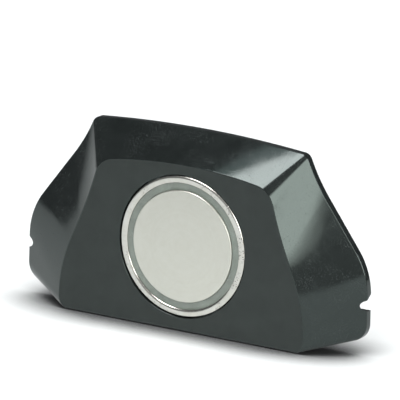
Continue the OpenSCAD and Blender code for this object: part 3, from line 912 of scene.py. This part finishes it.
def build_details():
    """Chip legs, solder joints and the capacitor's end caps."""
    chip_legs("output_driver", "base", "output_driver_legs", 1, 3, 1.27)
    chip_legs("oscillator_chip", "shell", "oscillator_chip_legs", -1, 4, 1.0)
    terminals = [(side * TERMINAL_X, z) for side in (-1, 1) for z in TERMINAL_HEIGHTS]
    solder_joints("terminal_solder_joints", "base", terminals, BACK_BOARD_Y, 1, 0.85, 0.7)
    low, high = [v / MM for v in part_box("main_board")]
    ends = [(6 * math.cos(a), 6 * math.sin(a) + 2) for a in (2.2, 2.6, 3.0, 3.4)]
    solder_joints("coil_solder_joints", "shell", ends, high[1], 1, 0.8, 0.6)
    low, high = [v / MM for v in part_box("filter_capacitor")]
    band, proud = 0.9, 0.04
    caps = []
    for x_a, x_b in ((low[0], low[0] + band), (high[0] - band, high[0])):
        caps.append(block((x_a - proud, low[1] - proud, low[2] - proud),
                          (x_b + proud, high[1], high[2] + proud), 0.1))
    place(gather("capacitor_end_caps", caps), "base", SOLDER)


build_details()

# Broken edges on the pieces kept from the frame
BROKEN_EDGES = {
    "terminal_block_left": 0.25, "terminal_block_right": 0.25, "switch_body": 0.2,
    "switch_slider_upper": 0.12, "switch_slider_lower": 0.12, "trimmer_body": 0.2,
    "trimmer_rotor": 0.1, "link_header": 0.1, "link_socket": 0.15, "output_driver": 0.1,
    "oscillator_chip": 0.08, "terminal_screws": 0.1, "main_board_screws": 0.1,
    "terminal_board_screws": 0.1, "clamp_nut": 0.25, "wire_clamps": 0.08,
    "terminal_board": 0.08, "main_board": 0.08, "head_seal": 0.15, "ferrite_core": 0.2,
    "coil_bobbin": 0.1, "insulator_disc": 0.04, "filter_capacitor": 0.1,
}
for node_name, edge_width in BROKEN_EDGES.items():
    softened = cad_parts[node_name].modifiers.new("broken edges", "BEVEL")
    softened.width = edge_width * MM
    softened.segments = 2
    softened.limit_method = "ANGLE"
    softened.angle_limit = math.radians(50)
    softened.harden_normals = False


# --------------------------------------------------------------- the stage
lowest = cad_bounds[0][2]


def build_floor():
    """A pale floor with a painted contact shadow, darker where the part closes it off (for camera
    rays only), and pure white far away.
    """
    half, step = 6.0, 24
    verts = [((i / step * 2 - 1) * half, (j / step * 2 - 1) * half, lowest)
             for j in range(step + 1) for i in range(step + 1)]
    faces = [(j * (step + 1) + i, j * (step + 1) + i + 1, (j + 1) * (step + 1) + i + 1,
              (j + 1) * (step + 1) + i) for j in range(step) for i in range(step)]
    mesh = bpy.data.meshes.new("floor")
    mesh.from_pydata(verts, [], faces)
    floor = bpy.data.objects.new("floor", mesh)
    bpy.context.scene.collection.objects.link(floor)
    m, t, shader = finish("pale floor", Roughness=0.9, Emission_Strength=1.0)
    cloud = t.noise(t.place(), 0.004, 2.0)
    pale = t.blend(cloud, (0.86, 0.88, 0.88), (0.88, 0.90, 0.90))
    # Painted shadow: ambient occlusion near the part darkens the floor's colour towards
    # near-black, for camera rays only
    under = t.add("ShaderNodeAmbientOcclusion", {"Distance": 0.026}, samples=12)
    painted_contact_shadow = t.remap(under.outputs["AO"], 0.97, 0.55)
    seen = t.add("ShaderNodeLightPath").outputs["Is Camera Ray"]
    shade = t.math("MULTIPLY", painted_contact_shadow, seen)
    spot = t.add("ShaderNodeNewGeometry").outputs["Position"]
    reach = t.add("ShaderNodeVectorMath", {0: spot}, operation="LENGTH").outputs["Value"]
    far = t.math("MULTIPLY", t.remap(reach, 0.45, 1.4), seen)
    near = t.blend(shade, pale, (0.03, 0.032, 0.033))
    send(t, t.blend(far, near, (0, 0, 0)), shader["Base Color"])
    send(t, t.blend(far, (0, 0, 0), (1, 1, 1)), shader["Emission Color"])
    mesh.materials.append(m)


build_floor()


def softbox(name, azimuth, elevation, distance, width, height, radiance, glossy=True,
            diffuse=True, shape="RECTANGLE", colour=(1, 1, 1)):
    """A soft light seen from the head at the given angles, turned to face it.
    Azimuth 0 is straight in front of the sensing face and 90 is to its right."""
    light = bpy.data.lights.new(name, "AREA")
    light.shape = shape
    light.size, light.size_y = width, height
    area = width * height * (math.pi / 4 if shape == "ELLIPSE" else 1)
    light.energy = radiance * math.pi * area
    light.color = colour
    lamp = bpy.data.objects.new(name, light)
    bpy.context.scene.collection.objects.link(lamp)
    a, e = math.radians(azimuth), math.radians(elevation)
    away = Vector((math.sin(a) * math.cos(e), -math.cos(a) * math.cos(e), math.sin(e)))
    turn = away.to_track_quat("Z", "Y").to_matrix().to_4x4()
    lamp.matrix_world = Matrix.Translation(away * distance) @ turn
    lamp.visible_camera = False
    lamp.visible_glossy = glossy
    lamp.visible_diffuse = diffuse
    return lamp


def build_lights():
    """A wash from above for the matt surfaces, and boxes that the gloss reflects.
    Boxes that overlap stand at different distances, so that each one counts."""
    softbox("overhead wash", 20, 73, 2.2, 2.7, 2.7, 4.0, glossy=False)
    softbox("top box", -17.0, 54, 1.5, 0.69, 0.9, 11.5, diffuse=False,
            colour=(1.0, 0.93, 0.945))
    softbox("right strip", 90, 24, 1.7, 0.5, 0.8, 9.0, diffuse=False)
    softbox("left glow", -108, 38, 1.75, 0.6, 0.6, 0.9, diffuse=False, colour=(0.9, 1.0, 1.0))
    softbox("top box spill", -19.0, 54, 1.55, 0.84, 0.92, 1.2, diffuse=False,
            colour=(0.8, 1.0, 1.0))
    for k in range(4):
        softbox(f"front box {k}", 42.5, 17, 1.6 + 0.03 * k, 1.02 + 0.15 * k,
                0.62 + 0.09 * k, 1.75, diffuse=False, shape="ELLIPSE",
                colour=(1.0, 1.0, 0.955))


build_lights()


def build_world():
    """A dim room, lighter towards the front right; white where the camera sees it."""
    world = bpy.data.worlds.new("studio")
    bpy.context.scene.world = world
    world.use_nodes = True
    world.node_tree.nodes.clear()
    t = Tree(world.node_tree)
    where = t.add("ShaderNodeTexCoord").outputs["Generated"]
    parts = t.add("ShaderNodeSeparateXYZ", {0: where}).outputs
    ahead = t.math("SUBTRACT", t.math("MULTIPLY", parts["X"], 0.5), parts["Y"])
    shade = t.blend(t.remap(ahead, 0.3, 1.0), (0.15, 0.155, 0.16), (0.50, 0.50, 0.50))
    room = t.add("ShaderNodeBackground", {"Color": shade, "Strength": 1.0}).outputs[0]
    white = t.add("ShaderNodeBackground", {"Color": (1, 1, 1, 1),
                  "Strength": 1.0}).outputs[0]
    seen = t.add("ShaderNodeLightPath").outputs["Is Camera Ray"]
    mixed = t.add("ShaderNodeMixShader", {0: seen, 1: room, 2: white}).outputs[0]
    output = t.add("ShaderNodeOutputWorld")
    send(t, mixed, output.inputs["Surface"])


build_world()


def build_camera():
    """A long lens from the front right, a little above the part."""
    azimuth, elevation, roll = math.radians(31.1), math.radians(15.4), math.radians(1.55)
    distance = 4.2
    right = Vector((math.cos(azimuth), math.sin(azimuth), 0))
    back = Vector((math.sin(azimuth) * math.cos(elevation),
                   -math.cos(azimuth) * math.cos(elevation), math.sin(elevation)))
    up = back.cross(right)
    aim = Vector((0, -0.015, 0.0085))
    turned_right = right * math.cos(roll) + up * math.sin(roll)
    turned_up = up * math.cos(roll) - right * math.sin(roll)
    aim = aim + turned_right * 0.0070 + turned_up * 0.0110
    camera = bpy.data.cameras.new("camera")
    camera.sensor_width = 36
    camera.lens = 915.3
    camera.clip_end = 40
    eye = bpy.data.objects.new("camera", camera)
    bpy.context.scene.collection.objects.link(eye)
    where = aim + back * distance
    eye.matrix_world = Matrix((
        (turned_right[0], turned_up[0], back[0], where[0]),
        (turned_right[1], turned_up[1], back[1], where[1]),
        (turned_right[2], turned_up[2], back[2], where[2]),
        (0, 0, 0, 1)))
    bpy.context.scene.camera = eye


build_camera()
bpy.context.scene.view_settings.view_transform = "Standard"
bpy.context.scene.view_settings.look = "None"
